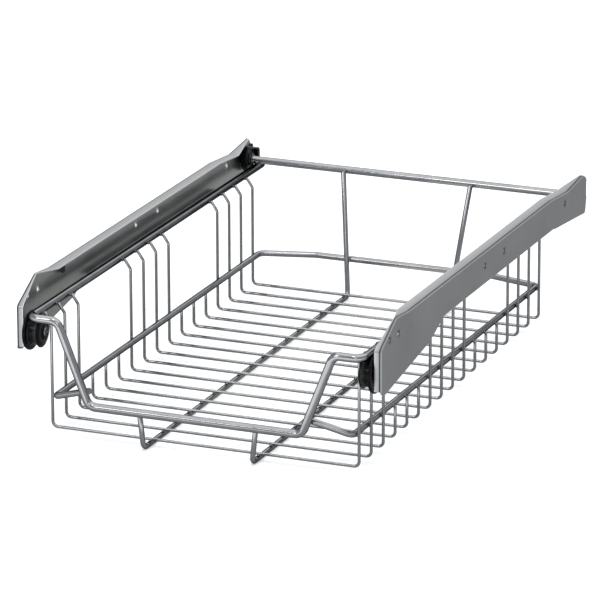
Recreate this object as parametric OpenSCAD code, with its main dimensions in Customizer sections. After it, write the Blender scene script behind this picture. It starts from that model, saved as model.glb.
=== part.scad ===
// Pull-out wire basket on two pressed steel cabinet rails.
// X runs across the cabinet, +Y points to its back and +Z is up.
// The origin is under the middle of the whole, at the height of the lowest wires.
// The basket is drawn pushed in, with its rear rollers at the back of the rails.

/* [Rails] */
// Width over both rails, which is the clear width of the cabinet
rail_span = 364; // [300:1:564]
// Length of each rail
rail_len = 556; // [540:1:640]
// Thickness of the rail's sheet steel
sheet_t = 1.2; // [1:0.1:1.5]
// Depth of the flange over the channel
top_flange = 12; // [11:0.5:13]
// Depth of the flange that the rear roller runs on
bottom_flange = 11.5; // [11:0.5:12.5]
// Depth of the flange along the upright front edge of the rail
front_flange = 7; // [5:0.5:8]
// Depth of the flange where the sloping front corner meets the top
kink_flange = 3; // [2.5:0.5:5]
// Depth of the flange at the crest over the rear roller
crest_flange = 4; // [3:0.5:6]
// Height of the upright front edge of the rail
front_edge_h = 42; // [34:1:46]
// How far the front edge ends below the middle of the front roller
front_drop = 16; // [12:1:18]
// How far the sloping front corner of the rail reaches back
chamfer_len = 39; // [30:1:46]
// Rise of the top edge at the end of that corner
kink_rise = 3; // [0:0.5:4]
// Dip of the top flange that holds the rear roller when the basket is shut
rear_dip = 4; // [3:0.5:5]
// Distance from the rail's front edge to the lowest point of its belly
belly_back = 124; // [116:1:130]
// Drop of the belly below the channel
belly_drop = 13; // [9:0.5:14]
// Drop of the rail's rear foot below the channel
foot_drop = 8; // [5:0.5:9]
// Radius of the screw holes in the rail
screw_hole_r = 2.25; // [1.8:0.05:2.6]
// Distance between the three main screw holes
screw_pitch = 224; // [192:32:224]
// Distance from the rail's front edge to its first main screw hole
screw_front = 44; // [38:1:50]

/* [Basket] */
// Number of thin cross wires in each group, front to back: long, short, long, short, long
wire_groups = [3, 3, 4, 3, 4];
// Diameter of the thin cross wires
cross_d = 2.9; // [2.4:0.1:3.2]
// Diameter of the frame wire that forms the sides and the front dip
frame_d = 8; // [7:0.5:8.5]
// Diameter of the belt wire round the basket
belt_d = 6.2; // [5:0.1:7]
// Diameter of the two base wires
base_d = 5; // [4:0.1:6]
// Diameter of the rear cross rod
rod_d = 7.5; // [6:0.5:8]
// Height of the frame wire over the floor wires
side_rise = 111.3; // [90:0.1:130]
// Height of the belt wire over the floor wires
belt_rise = 31; // [25:0.5:40]
// Height of the bottom of the front dip over the floor wires
dip_rise = 31.8; // [28:0.1:45]
// How far each base wire lies from the middle of the floor
base_x = 54.5; // [45:0.5:70]
// Sideways lean of the base wires, in degrees
base_lean = 6.4; // [4:0.1:8]
// Step outward of the long cross wires just below the frame wire
shoulder = 6.5; // [5.5:0.1:7]
// Height of that step
shoulder_h = 9.5; // [8:0.5:11]
// Bend radius of the thin cross wires, at their middle line
cross_bend = 5; // [3:0.5:7]
// Bend radius of the frame wire, at its middle line
frame_bend = 10; // [8:0.5:12]
// Bend radius of the belt wire, at its middle line
belt_bend = 8; // [6:0.5:9]
// Bend radius of the base wires, at their middle line
base_bend = 6; // [4:0.5:7]
// Width of the front dip at its bottom
dip_w = 213; // [180:1:240]
// How far each leg of the dip spreads toward its top
leg_spread = 31; // [20:1:34]
// How far the front wire lies out in front of the rails
front_overhang = 9.6; // [6:0.2:14]
// Distance from the front wire to the first cross wire
front_gap = 22; // [20:0.5:28]
// Distance from the last cross wire to the rear rod
rod_gap = 39.5; // [36:0.5:46]
// How far the frame wire's ends reach past the rear rod
side_end_back = 13; // [11:0.5:15]
// Width of the straight middle stretch of the belt at the back
belt_back_w = 187; // [150:1:210]
// Distance from the last cross wire to the belt's rear corners
belt_corner_back = 7.5; // [6:0.5:9]
// Rise of the belt's front ends, which meet the legs of the dip
belt_end_rise = 13; // [8:0.5:16]

/* [Rollers] */
// Travel of the basket
travel = 430; // [300:5:430]
// Radius of the rear rollers
rear_roller_r = 12.7; // [12:0.1:14]
// Width of the rear rollers' running face
rear_roller_w = 5.2; // [4:0.1:5.4]
// Radius of the rear rollers' hubs
rear_hub_r = 6.5; // [6:0.1:7]
// Radius of the front roller's groove floor
groove_r = 13.6; // [13:0.1:14]
// Height of the front roller's inner rim over its groove
inner_rim_h = 1.8; // [1:0.1:2]
// Height of the front roller's outer rim over its groove
outer_rim_h = 5.2; // [4:0.1:6]
// Thickness of the front roller's outer rim
outer_rim_w = 3; // [2:0.1:3.5]
// Radius of the fixed pins that carry the front rollers
pin_r = 3.5; // [3:0.1:4]
// Distance from the rail's front edge to these pins
pin_back = 12; // [11:0.5:14]
// Depth of the plastic stop at the back of the channel
stop_len = 6; // [4:0.5:8]

/* [Clearances] */
// Gap between wires at their welds
weld_gap = 0.05; // [0.02:0.01:0.1]
// Running gap between a roller and what it rolls on
roll_gap = 0.2; // [0.1:0.05:0.3]
// Radial clearance of a roller or washer on its pin
bore_gap = 0.05; // [0.02:0.01:0.1]
// Gap on each side of a roller
side_gap = 0.3; // [0.2:0.05:0.5]
// Gap between the bottom flange and the frame wire beside it
flange_gap = 0.5; // [0.3:0.1:1]

/* [Hidden] */
$fn = 48;
// Heights of the wires' middle lines, and of the channel
floor_z = base_d + cross_d / 2 + weld_gap;
base_z = base_d / 2;
belt_z = floor_z + belt_rise;
dip_z = floor_z + dip_rise;
side_z = floor_z + side_rise;
rod_z = side_z + (frame_d + rod_d) / 2 + weld_gap;
pin_z = side_z - frame_d / 2 - roll_gap - groove_r;
rail_top = rod_z + rear_roller_r + roll_gap + rear_dip + sheet_t;
rail_bottom = rod_z - rear_roller_r - roll_gap - sheet_t;
// Places across the basket, for its right-hand side
rail_x = rail_span / 2;
web_x = rail_x - sheet_t;
side_x = rail_x - bottom_flange - flange_gap - frame_d / 2;
long_top_x = side_x - (frame_d + cross_d) / 2 - weld_gap;
cross_x = long_top_x - shoulder;
belt_x = cross_x - (cross_d + belt_d) / 2 - weld_gap;
leg_top_x = dip_w / 2 + leg_spread;
// Places along the basket
cross_n = wire_groups[0] + wire_groups[1] + wire_groups[2] + wire_groups[3] + wire_groups[4];
stop_reach = sheet_t + stop_len + roll_gap + rear_roller_r;
cross_pitch = (rail_len + front_overhang - stop_reach - rod_gap - front_gap - frame_d / 2) / (cross_n - 1);
rear_y = (rail_len + front_overhang) / 2;
front_y = rear_y - rail_len;
rod_y = rear_y - stop_reach;
cross_rear_y = rod_y - rod_gap;
cross_front_y = cross_rear_y - (cross_n - 1) * cross_pitch;
bar_y = cross_front_y - front_gap;
pin_y = front_y + pin_back;
side_end_y = rod_y + side_end_back;
screw_y = front_y + screw_front;
screw_z = rod_z + 4;

function cross_name(i) = str("cross_wire_", i + 1 < 10 ? "0" : "", i + 1);
// Groups 0, 2 and 4 reach up to the frame wire; groups 1 and 3 end at the belt
function group_start(g) = g == 0 ? 0 : group_start(g - 1) + wire_groups[g - 1];
function group_of(i, g = 0) = i < group_start(g) + wire_groups[g] ? g : group_of(i, g + 1);
function is_long(i) = group_of(i) % 2 == 0;
function unit(v) = v / norm(v);
function reversed(list) = [for (i = [len(list) - 1 : -1 : 0]) list[i]];
// A path that starts on the left and runs on as its own mirror image on the right
function both_sides(half) = concat(half, [for (p = reversed(half)) [-p[0], p[1], p[2]]]);

// ---- Bent wire ----

// A wire is a hair thicker in its bends, and its straight lengths reach a little way into them
bend_swell = 0.02;
bend_lap = 0.2;

// Places its children in the frame of the unit vectors x, y and z at the point o
module in_frame(o, x, y, z) {
    multmatrix([[x[0], y[0], z[0], o[0]],
                [x[1], y[1], z[1], o[1]],
                [x[2], y[2], z[2], o[2]],
                [0, 0, 0, 1]])
        children();
}

// A round bar from a to b
module bar(a, b, d) {
    z = unit(b - a);
    side = abs(z[2]) < 0.9 ? [0, 0, 1] : [0, 1, 0];
    x = unit(cross(side, z));
    in_frame(a, x, cross(z, x), z)
        cylinder(h = norm(b - a), d = d);
}

// Turning angle at the point b of the path a, b, c
function turn(a, b, c) = acos(unit(b - a) * unit(c - b));

// Length that a bend of radius r at b takes off each of its legs
function leg_cut(a, b, c, r) = r * tan(turn(a, b, c) / 2);

// The bend of radius r at b, as a stretch of a ring
module bend(a, b, c, r, d) {
    u = unit(b - a);
    v = unit(c - b);
    angle = turn(a, b, c);
    start = b - u * leg_cut(a, b, c, r);
    centre = b + unit(v - u) * r / cos(angle / 2);
    x = unit(start - centre);
    in_frame(centre, x, u, cross(x, u))
        rotate_extrude(angle = angle)
            translate([r, 0])
                circle(d = d + 2 * bend_swell);
}

// A wire of diameter d along the points, bent to the radius r at each inner point
module bent_wire(points, r, d) {
    last = len(points) - 1;
    cuts = [for (i = [0 : last])
        i == 0 || i == last ? 0 : leg_cut(points[i - 1], points[i], points[i + 1], r)];
    laps = [for (i = [0 : last]) i == 0 || i == last ? 0 : bend_lap];
    for (i = [0 : last - 1]) {
        way = unit(points[i + 1] - points[i]);
        bar(points[i] + way * (cuts[i] - laps[i]), points[i + 1] - way * (cuts[i + 1] - laps[i + 1]), d);
    }
    for (i = [1 : last - 1])
        bend(points[i - 1], points[i], points[i + 1], r, d);
}

// Turns a profile of [radius, height] points about an axis that runs outward along X
module turned_outward(profile) {
    rotate([0, 90, 0])
        rotate_extrude()
            polygon(profile);
}

module left_side() {
    mirror([1, 0, 0])
        children();
}

// ---- Rails ----

// Corners [y, z] of the web, from the foot of the front edge up, over the top and back below
edge_bottom = pin_z - front_drop;
edge_top = edge_bottom + front_edge_h;
kink_y = front_y + chamfer_len;
dip_y = rod_y - 36;
belly_y = front_y + belly_back;
channel_y = belly_y + 33;
web_corners = [
    [front_y, edge_bottom],
    [front_y, edge_top],
    [kink_y, rail_top + kink_rise],
    [kink_y + 31, rail_top],
    [dip_y - 48, rail_top],
    [dip_y, rail_top - rear_dip],
    [rod_y + 9, rail_top + 0.7],
    [rear_y, rail_top - 5],
    [rear_y, rod_z - 6],
    [rear_y - 4, rail_bottom - foot_drop],
    [dip_y - 38, rail_bottom],
    [channel_y, rail_bottom],
    [belly_y, rail_bottom - belly_drop],
    [front_y + 10, edge_bottom - 3]];

// Normal of the web's edge k, pointing into the web
function edge_in(k) =
    let (n = len(web_corners), way = unit(web_corners[(k + 1) % n] - web_corners[k % n]))
    [way[1], -way[0]];
// Corner k moved in by the sheet's thickness
function inner_corner(k) =
    let (n = len(web_corners), a = edge_in((k + n - 1) % n), b = edge_in(k % n))
    web_corners[k % n] + (a + b) * sheet_t / (1 + a * b);

// The flange that is bent inward along the web's edges from corner k0 to corner k1
module flange(k0, k1, depth) {
    translate([rail_x - depth, 0, 0])
        rotate([90, 0, 90])
            linear_extrude(depth)
                polygon(concat(
                    [for (k = [k0 : k1]) web_corners[k]],
                    [for (k = [k1 : -1 : k0]) inner_corner(k)]));
}

// The flange from the foot of the front edge over the top to the crest. Seen from above, it narrows
// to the kink, widens to cover the channel, and narrows again from the dip to the crest
module upper_flange() {
    wide_y = web_corners[3][0];
    crest_y = web_corners[6][0];
    plan = [
        [rail_x + 1, front_y - 1],
        [rail_x - front_flange, front_y - 1],
        [rail_x - front_flange, front_y + 1],
        [rail_x - kink_flange, kink_y],
        [rail_x - top_flange, wide_y],
        [rail_x - top_flange, dip_y],
        [rail_x - crest_flange, crest_y],
        [rail_x - crest_flange, crest_y + 2],
        [rail_x + 1, crest_y + 2]];
    intersection() {
        flange(0, 6, top_flange + 1);
        translate([0, 0, edge_bottom - 1])
            linear_extrude(rail_top + kink_rise - edge_bottom + 2)
                polygon(plan);
    }
}

module rail() {
    difference() {
        union() {
            translate([web_x, 0, 0])
                rotate([90, 0, 90])
                    linear_extrude(sheet_t)
                        polygon(web_corners);
            upper_flange();
            flange(7, 8, 4);
            flange(9, 11, bottom_flange);
            travel_stop();
        }
        for (y = [screw_y - 23, screw_y, screw_y + screw_pitch, screw_y + screw_pitch + 52,
                  screw_y + 2 * screw_pitch])
            screw_hole(y);
    }
}

module screw_hole(y) {
    translate([web_x - 1, y, screw_z])
        rotate([0, 90, 0])
            cylinder(h = sheet_t + 2, r = screw_hole_r);
}

// A tab bent down from the top flange, which catches the rear roller at the end of its travel
stop_rise = 5;
stop_y = rod_y - travel - side_gap - sqrt(pow(rear_roller_r, 2) - pow(stop_rise, 2));
module travel_stop() {
    translate([rail_x - top_flange + 1.5, stop_y - sheet_t, rod_z + stop_rise])
        cube([top_flange - 1.5 - sheet_t / 2, sheet_t, rail_top - rod_z - stop_rise - sheet_t / 2]);
}

module right_rail() {
    color("gray")
        rail();
}

module left_rail() {
    color("gray")
        left_side() rail();
}

// The plastic stop against which the rear roller comes to rest, on the web at the back
stop_h = 16;
stop_w = top_flange - sheet_t;
module rear_stop() {
    corner = 2.5;
    translate([web_x - stop_w, rear_y - sheet_t, rod_z])
        rotate([90, 0, 0])
            linear_extrude(stop_len) {
                translate([0, corner - stop_h / 2])
                    square([stop_w, stop_h - 2 * corner]);
                translate([corner, -stop_h / 2])
                    square([stop_w - corner, stop_h]);
                for (side = [-1, 1])
                    translate([corner, side * (stop_h / 2 - corner)])
                        circle(corner);
            }
}

// ---- Front rollers ----

// Places across, as distances from the groove's middle: positive toward the cabinet side
groove_half = frame_d / 2 + side_gap;
outer_face = groove_half + 0.5 + outer_rim_w;
inner_face = groove_half + 3.3;
module front_roller() {
    translate([side_x, pin_y, pin_z])
        turned_outward([
            [pin_r + bore_gap, -inner_face],
            [groove_r - 5, -inner_face],
            [groove_r + inner_rim_h, -groove_half - 0.8],
            [groove_r + inner_rim_h, -groove_half - 0.2],
            [groove_r, -groove_half],
            [groove_r, groove_half],
            [groove_r + outer_rim_h - 0.6, groove_half + 0.5],
            [groove_r + outer_rim_h, groove_half + 1.1],
            [groove_r + outer_rim_h, outer_face - 0.8],
            [groove_r + outer_rim_h - 0.8, outer_face],
            [pin_r + bore_gap, outer_face]]);
}

// The pin is riveted to the web; its shoulder and its head hold the roller between them
module roller_pin() {
    shoulder_r = pin_r + 2.3;
    head_r = pin_r + 1;
    head_start = -inner_face - side_gap;
    translate([side_x, pin_y, pin_z])
        turned_outward([
            [0, head_start - 1.6],
            [head_r - 0.7, head_start - 1.6],
            [head_r, head_start - 0.9],
            [head_r, head_start],
            [pin_r, head_start],
            [pin_r, outer_face + side_gap],
            [shoulder_r, outer_face + side_gap],
            [shoulder_r, web_x - side_x],
            [0, web_x - side_x]]);
}

// ---- Rear rollers ----

// Places across: the washer sits beside the frame wire, then hub, running face and rod head
washer_w = 1.1;
washer_x = side_x + 0.8 * frame_d / 2;
hub_x = washer_x + washer_w + side_gap;
running_x = hub_x + 2.4;
rod_head_x = running_x + rear_roller_w + side_gap;
module rear_roller() {
    translate([0, rod_y, rod_z])
        turned_outward([
            [rod_d / 2 + bore_gap, hub_x],
            [rear_hub_r, hub_x],
            [rear_hub_r, running_x + 0.8],
            [rear_roller_r - 3, running_x + 0.8],
            [rear_roller_r - 2.4, running_x],
            [rear_roller_r - 0.6, running_x],
            [rear_roller_r, running_x + 0.6],
            [rear_roller_r, running_x + rear_roller_w - 0.6],
            [rear_roller_r - 0.6, running_x + rear_roller_w],
            [rod_d / 2 + bore_gap, running_x + rear_roller_w]]);
}

// A pressed washer that keeps the roller off the frame wire
module washer() {
    translate([0, rod_y, rod_z])
        turned_outward([
            [rod_d / 2 + bore_gap, washer_x],
            [rod_d / 2 + 1.1, washer_x],
            [rod_d / 2 + 1.1, washer_x + washer_w],
            [rod_d / 2 + bore_gap, washer_x + washer_w]]);
}

// ---- Basket ----

// The cross rod lies on the frame wire's ends; a flat head on each end keeps its roller on
module rear_rod() {
    head_r = rod_d / 2 + 1.5;
    color("silver")
        for (side = [0, 1])
            mirror([side, 0, 0])
                translate([0, rod_y, rod_z])
                    turned_outward([
                        [0, 0],
                        [rod_d / 2, 0],
                        [rod_d / 2, rod_head_x],
                        [head_r, rod_head_x],
                        [head_r, rod_head_x + 0.8],
                        [head_r - 0.6, rod_head_x + 1.4],
                        [0, rod_head_x + 1.4]]);
}

// One thick wire: a side, the front with its dip, and the other side
module frame_wire() {
    color("silver")
        bent_wire(both_sides([
            [-side_x, side_end_y, side_z],
            [-side_x, bar_y, side_z],
            [-leg_top_x, bar_y, side_z],
            [-dip_w / 2, bar_y, dip_z]]), frame_bend, frame_d);
}

// Each base wire is a long U under the floor, from the front dip to the rear rod
base_front_y = bar_y + (frame_d + base_d) / 2 + weld_gap;
base_rear_y = cross_rear_y + 10.5;
rod_touch = (rod_d + base_d) / 2 + weld_gap;
back_lean = acos(rod_touch / norm([rod_y - base_rear_y, rod_z - base_z]))
    - atan2(rod_z - base_z, rod_y - base_rear_y);
function base_side(z) = base_x + (z - base_z) * tan(base_lean);
function base_back(z) = base_rear_y + (z - base_z) * tan(back_lean);
module base_wire() {
    color("silver")
        bent_wire([
            [base_side(dip_z), base_front_y, dip_z],
            [base_x, base_front_y, base_z],
            [base_x, base_rear_y, base_z],
            [base_side(rod_z), base_back(rod_z), rod_z]], base_bend, base_d);
}

// The belt runs inside the cross wires and behind the base wires; its ends meet the dip's legs
belt_back_y = base_back(belt_z) + ((base_d + belt_d) / 2 + weld_gap) / cos(back_lean);
belt_end_z = belt_z + belt_end_rise;
leg_x = dip_w / 2 + leg_spread * (belt_end_z - dip_z) / (side_z - dip_z);
module belt_wire() {
    color("silver")
        bent_wire(both_sides([
            [-leg_x, bar_y + (frame_d + belt_d) / 2 + weld_gap, belt_end_z],
            [-belt_x, cross_front_y - 4, belt_z],
            [-belt_x, cross_rear_y + belt_corner_back, belt_z],
            [-belt_back_w / 2, belt_back_y, belt_z]]), belt_bend, belt_d);
}

// Cross wire i runs under the floor and up both sides, to the belt or out to the frame wire
module cross_wire(i) {
    y = cross_front_y + i * cross_pitch;
    short_top = [[-cross_x, y, belt_z + cross_d / 2]];
    long_top = [[-long_top_x, y, side_z], [-cross_x, y, side_z - shoulder_h]];
    color("silver")
        bent_wire(both_sides(concat(is_long(i) ? long_top : short_top, [[-cross_x, y, floor_z]])),
                  cross_bend, cross_d);
}

left_rail();
right_rail();
color("silver") left_side() roller_pin();  // left_roller_pin
color("silver") roller_pin();  // right_roller_pin
color("black") left_side() front_roller();  // left_front_roller
color("black") front_roller();  // right_front_roller
color("black") left_side() rear_stop();  // left_rear_stop
color("black") rear_stop();  // right_rear_stop
color("black") left_side() rear_roller();  // left_rear_roller
color("black") rear_roller();  // right_rear_roller
color("silver") left_side() washer();  // left_washer
color("silver") washer();  // right_washer
frame_wire();
rear_rod();
belt_wire();
left_side() base_wire();  // left_base_wire
base_wire();  // right_base_wire
for (i = [0 : cross_n - 1])
    cross_wire(i);
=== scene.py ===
# %% [markdown]
# # A pull-out wire basket on two pressed steel rails
#
# This lesson rebuilds a basket that slides out of a kitchen cabinet. Its bent wires, folded rails and
# grooved rollers are small parts with simple forms, so nearly every shape here is one formula that is
# worked out for a whole grid of points at once.
#
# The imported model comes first.

# %% Load the frame
import math
import bmesh
import bpy
import numpy as np
from mathutils import Matrix


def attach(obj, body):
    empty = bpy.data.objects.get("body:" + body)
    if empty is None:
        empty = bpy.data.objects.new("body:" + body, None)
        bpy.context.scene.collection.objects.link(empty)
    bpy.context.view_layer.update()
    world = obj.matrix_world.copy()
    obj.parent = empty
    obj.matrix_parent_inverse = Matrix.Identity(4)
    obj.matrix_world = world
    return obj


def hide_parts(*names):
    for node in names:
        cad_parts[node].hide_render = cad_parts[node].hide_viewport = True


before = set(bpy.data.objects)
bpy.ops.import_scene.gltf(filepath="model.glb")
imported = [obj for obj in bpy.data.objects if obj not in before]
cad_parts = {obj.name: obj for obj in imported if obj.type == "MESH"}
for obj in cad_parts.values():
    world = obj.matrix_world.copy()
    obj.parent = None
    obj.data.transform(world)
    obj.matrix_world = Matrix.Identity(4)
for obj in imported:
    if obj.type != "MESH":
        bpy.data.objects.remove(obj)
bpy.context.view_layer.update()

# %% [markdown]
# ## Putting a grid of points into a mesh
#
# A tube, a roller and a folded sheet are all grids: rows of points along the piece, and columns round it.
# These helpers list the four corners of every cell, write points and faces into a Blender mesh, and set
# the piece on its body. The points are in millimetres, as on a drawing, and are written in metres.
#
# Smooth shading alone would smear light over sharp corners, so edges that turn by more than 35 degrees,
# or 50 on a black moulding, are marked sharp.

# %% From grids to faces
SIDES = (("left", -1), ("right", 1))


def grid_cells(rows, columns, close_rows=False, close_columns=True):
    """Corners of each cell of a grid whose point (r, c) has number r * columns + c."""
    r = np.arange(rows if close_rows else rows - 1)[:, None]
    c = np.arange(columns if close_columns else columns - 1)[None, :]
    r_next, c_next = (r + 1) % rows, (c + 1) % columns
    corners = (r * columns + c, r * columns + c_next, r_next * columns + c_next, r_next * columns + c)
    return np.stack(np.broadcast_arrays(*corners), axis=-1).reshape(-1, 4)


def capped_cells(rows, around):
    """Cells of a grid that is closed round, and a flat face over each of its two end rings."""
    caps = [list(range(around - 1, -1, -1)), list(range((rows - 1) * around, rows * around))]
    return grid_cells(rows, around).tolist() + caps


def turned_round(faces):
    """Each face with its corners in the other order, so that it looks the other way."""
    return [face[::-1] for face in faces]


def unit(v):
    """Each vector divided by its length."""
    return v / np.linalg.norm(v, axis=-1, keepdims=True)

# %% From faces to a piece on its body
def write_piece(name, points, faces, edge=None, sharp=35):
    """Writes points in mm and a list of faces into a new object, in metres. `edge` is stored per point."""
    mesh = bpy.data.meshes.new(name)
    mesh.from_pydata((np.asarray(points, float) * 0.001).tolist(), [], faces)
    mesh.polygons.foreach_set("use_smooth", np.ones(len(mesh.polygons), bool))
    mesh.set_sharp_from_angle(angle=math.radians(sharp))
    if edge is not None:
        mesh.attributes.new("edge", "FLOAT", "POINT").data.foreach_set("value", np.asarray(edge, np.float32))
    mesh.update()
    piece = bpy.data.objects.new(name, mesh)
    bpy.context.scene.collection.objects.link(piece)
    return piece


finishes = {}


def finish_piece(piece, body, nodes, slot):
    """The piece rides on a body, stands for its CAD nodes and gets the finish of its slot."""
    piece.data.materials.append(finishes[slot])
    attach(piece, body)
    if nodes:
        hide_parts(*nodes)
    print(f"{piece.name}: {len(piece.data.polygons)} faces, on {body}")

# %% [markdown]
# ## Shared effects for the finishes
#
# Zinc plating, rolled sheet and moulded plastic all vary a little from place to place. A few node groups
# give that variation, and one paints highlights and shade along edges. Each material uses them with its
# own numbers. A group puts out only masks and heights, so that the shaders themselves stay in the materials.
#
# `cloudy_plating` is the soft unevenness of a plated surface. `drawn_lines` are the fine lines that
# rolling or drawing leaves along the metal. `painted_edge_light` turns the stored `edge` value into a
# ragged painted highlight line, and a value below zero into an even painted shade. `settled_dust` finds
# the places that face up.

# %% A short way to write nodes
class Net:
    """The nodes of a group or a material. An input takes a number, a colour or another node's socket."""

    def __init__(self, tree):
        self.nodes, self.links = tree.nodes, tree.links

    def fill(self, socket, value):
        """Links another node's socket to this one, or sets its own value."""
        if isinstance(value, bpy.types.NodeSocket):
            self.links.new(value, socket)
        else:
            socket.default_value = (*value, 1.0) if isinstance(value, tuple) else value

    def add(self, kind, inputs, **settings):
        """A node with its settings and its inputs, which go by name or number. Gives its outputs."""
        node = self.nodes.new("ShaderNode" + kind)
        for label, value in settings.items():
            setattr(node, label, value)
        for label, value in inputs.items():
            self.fill(node.inputs[label], value)
        return node.outputs

    def effect(self, group, **values):
        """The outputs of a shared effect with its own numbers."""
        return self.add("Group", values, node_tree=group)

    def math(self, operation, a, b, clamp=False):
        """The result of a Math node."""
        return self.add("Math", {0: a, 1: b}, operation=operation, use_clamp=clamp)[0]

    def times(self, a, b, clamp=False):
        """The product of two."""
        return self.math("MULTIPLY", a, b, clamp)

    def noise(self, vector, scale, detail, roughness):
        """The value of a noise texture on a vector."""
        inputs = {"Vector": vector, "Scale": scale, "Detail": detail, "Roughness": roughness}
        return self.add("TexNoise", inputs)["Fac"]

    def mix(self, mask, dark, light):
        """The colour between two, by a mask."""
        return self.add("Mix", {0: mask, 6: dark, 7: light}, data_type="RGBA")[2]

    def span(self, value, low, high, start=0.0, end=1.0):
        """Maps start to end of a value onto low to high."""
        inputs = {"Value": value, "From Min": start, "From Max": end, "To Min": low, "To Max": high}
        return self.add("MapRange", inputs)["Result"]


def new_group(name, inputs, outputs):
    """A group with float inputs {name: value} and outputs. Gives it, its net, both ends and the place."""
    group = bpy.data.node_groups.new(name, "ShaderNodeTree")
    for label, value in inputs.items():
        socket = group.interface.new_socket(name=label, in_out="INPUT", socket_type="NodeSocketFloat")
        socket.default_value = value
    for label in outputs:
        group.interface.new_socket(name=label, in_out="OUTPUT", socket_type="NodeSocketFloat")
    net = Net(group)
    given, result = group.nodes.new("NodeGroupInput").outputs, group.nodes.new("NodeGroupOutput").inputs
    return group, net, given, result, net.add("TexCoord", {})["Object"]

# %% Cloudy plating
# Tone = a broad noise mixed with a fine one, centred on a half. Height = the fine one.
cloudy_plating, net, given, result, place = new_group(
    "cloudy_plating", {"Broad": 30.0, "Fine": 900.0, "Share": 0.35}, ("Tone", "Height"))
broad = net.noise(place, given["Broad"], 4.0, 0.55)
fine = net.noise(place, given["Fine"], 2.0, 0.6)
broad_part = net.times(broad, net.math("SUBTRACT", 1.0, given["Share"]))
fine_part = net.times(fine, given["Share"])
net.fill(result["Tone"], net.math("ADD", broad_part, fine_part))
net.fill(result["Height"], fine)

# %% Drawn lines
# A noise that is squeezed across the cabinet and upward, so that it runs in lines along Y.
drawn_lines, net, given, result, place = new_group("drawn_lines", {"Across": 1500.0, "Along": 14.0}, ("Lines",))
scales = net.add("CombineXYZ", {"X": given["Across"], "Y": given["Along"], "Z": given["Across"]})[0]
squeezed = net.add("VectorMath", {0: place, 1: scales}, operation="MULTIPLY")[0]
net.fill(result["Lines"], net.noise(squeezed, 1.0, 3.0, 0.65))

# %% Painted highlights and shade on edges
# Mask = the piece's edge value, thinned by a noise: a painted highlight. Shade = how far the edge value is
# below zero: a painted shade.
painted_edge_light, net, given, result, place = new_group(
    "painted_edge_light", {"Grain": 350.0, "Amount": 0.8}, ("Mask", "Shade"))
edge_value = net.add("Attribute", {}, attribute_name="edge")["Fac"]
ragged = net.times(net.noise(place, given["Grain"], 4.0, 0.6), 0.55)
thinned = net.math("SUBTRACT", edge_value, ragged)
net.fill(result["Mask"], net.times(thinned, given["Amount"], clamp=True))
net.fill(result["Shade"], net.times(edge_value, -1.0, clamp=True))

# %% Settled dust
# Mask = how far the surface faces up, times a noise.
settled_dust, net, given, result, place = new_group("settled_dust", {"Grain": 220.0, "Amount": 0.15}, ("Mask",))
facing = net.add("SeparateXYZ", {0: net.add("NewGeometry", {})["Normal"]})
faces_up = net.math("MAXIMUM", facing["Z"], 0.0)
specks = net.times(faces_up, net.noise(place, given["Grain"], 5.0, 0.7))
net.fill(result["Mask"], net.times(specks, given["Amount"], clamp=True))
print("groups:", [g.name for g in bpy.data.node_groups])

# %% [markdown]
# ## The finishes
#
# The wires are bright zinc: a metal with a fairly smooth surface that shows a thin white line of light
# and darkens to its sides. The rails are rolled sheet with the same zinc, a little duller. The rollers
# and the end stops are glossy black mouldings.
#
# Each finish mixes two colours by a mask, sets its roughness by the same mask and raises the surface by
# a hundredth of a millimetre or less.

# %% Helpers for the finishes
BUMP_DEPTH = 0.00002


def new_finish(name, metallic, specular=0.5, rim=1.0):
    """A material's net and the inputs of its Principled shader.

    A metal's rim would turn white at a flat angle. A rim below one keeps it grey there.
    """
    finishes[name] = bpy.data.materials.new(name)
    finishes[name].use_nodes = True
    net = Net(finishes[name].node_tree)
    shader = net.nodes["Principled BSDF"].inputs
    net.fill(shader["Metallic"], metallic)
    net.fill(shader["Specular IOR Level"], specular)
    net.fill(shader["Specular Tint"], (rim, rim, rim))
    return net, shader


def coat(net, shader, colour, roughness, height, strength):
    """Gives the shader its colour, its roughness and a bump."""
    bump = net.add("Bump", {"Distance": BUMP_DEPTH, "Strength": strength, "Height": height})["Normal"]
    net.fill(shader["Base Color"], colour)
    net.fill(shader["Roughness"], roughness)
    net.fill(shader["Normal"], bump)

# %% Plated wire: a clouded light grey, hardly rough
net, shader = new_finish("wire_plating", 1.0, rim=0.13)
tone, height = net.effect(cloudy_plating, Broad=55.0, Fine=1400.0, Share=0.3)
zinc = net.mix(net.span(tone, 0.0, 1.0, 0.35, 0.65), (0.29, 0.295, 0.302), (0.37, 0.375, 0.38))
zinc = net.mix(net.effect(settled_dust, Grain=300.0, Amount=0.10)[0], zinc, (0.46, 0.45, 0.43))
coat(net, shader, zinc, net.span(tone, 0.10, 0.15, 0.3, 0.7), height, 0.05)

# %% Rolled rail sheet: fine lines along the rail, clouds, painted highlights on folds and edges, and painted shade
net, shader = new_finish("rail_steel", 1.0, rim=0.6)
tone, height = net.effect(cloudy_plating, Broad=16.0, Fine=700.0, Share=0.25)
lines = net.effect(drawn_lines, Across=1300.0, Along=9.0)[0]
painted_light, shade = net.effect(painted_edge_light, Grain=420.0, Amount=1.2)
dust = net.effect(settled_dust, Grain=160.0, Amount=0.12)[0]
tone = net.math("ADD", net.times(tone, 0.7), net.times(lines, 0.3))
zinc = net.mix(net.span(tone, 0.0, 1.0, 0.36, 0.64), (0.335, 0.342, 0.35), (0.425, 0.43, 0.422))
# painted highlight on folds, cut edges and the dimples inside, then painted shade over the folds, the dimples
# outside and the stop tab
zinc = net.mix(painted_light, zinc, (0.72, 0.73, 0.75))
zinc = net.mix(shade, zinc, (0.035, 0.035, 0.04))
zinc = net.mix(dust, zinc, (0.46, 0.455, 0.44))
height = net.math("ADD", lines, net.times(height, 0.6))
coat(net, shader, zinc, net.span(tone, 0.26, 0.42, 0.35, 0.65), height, 0.5)

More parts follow.
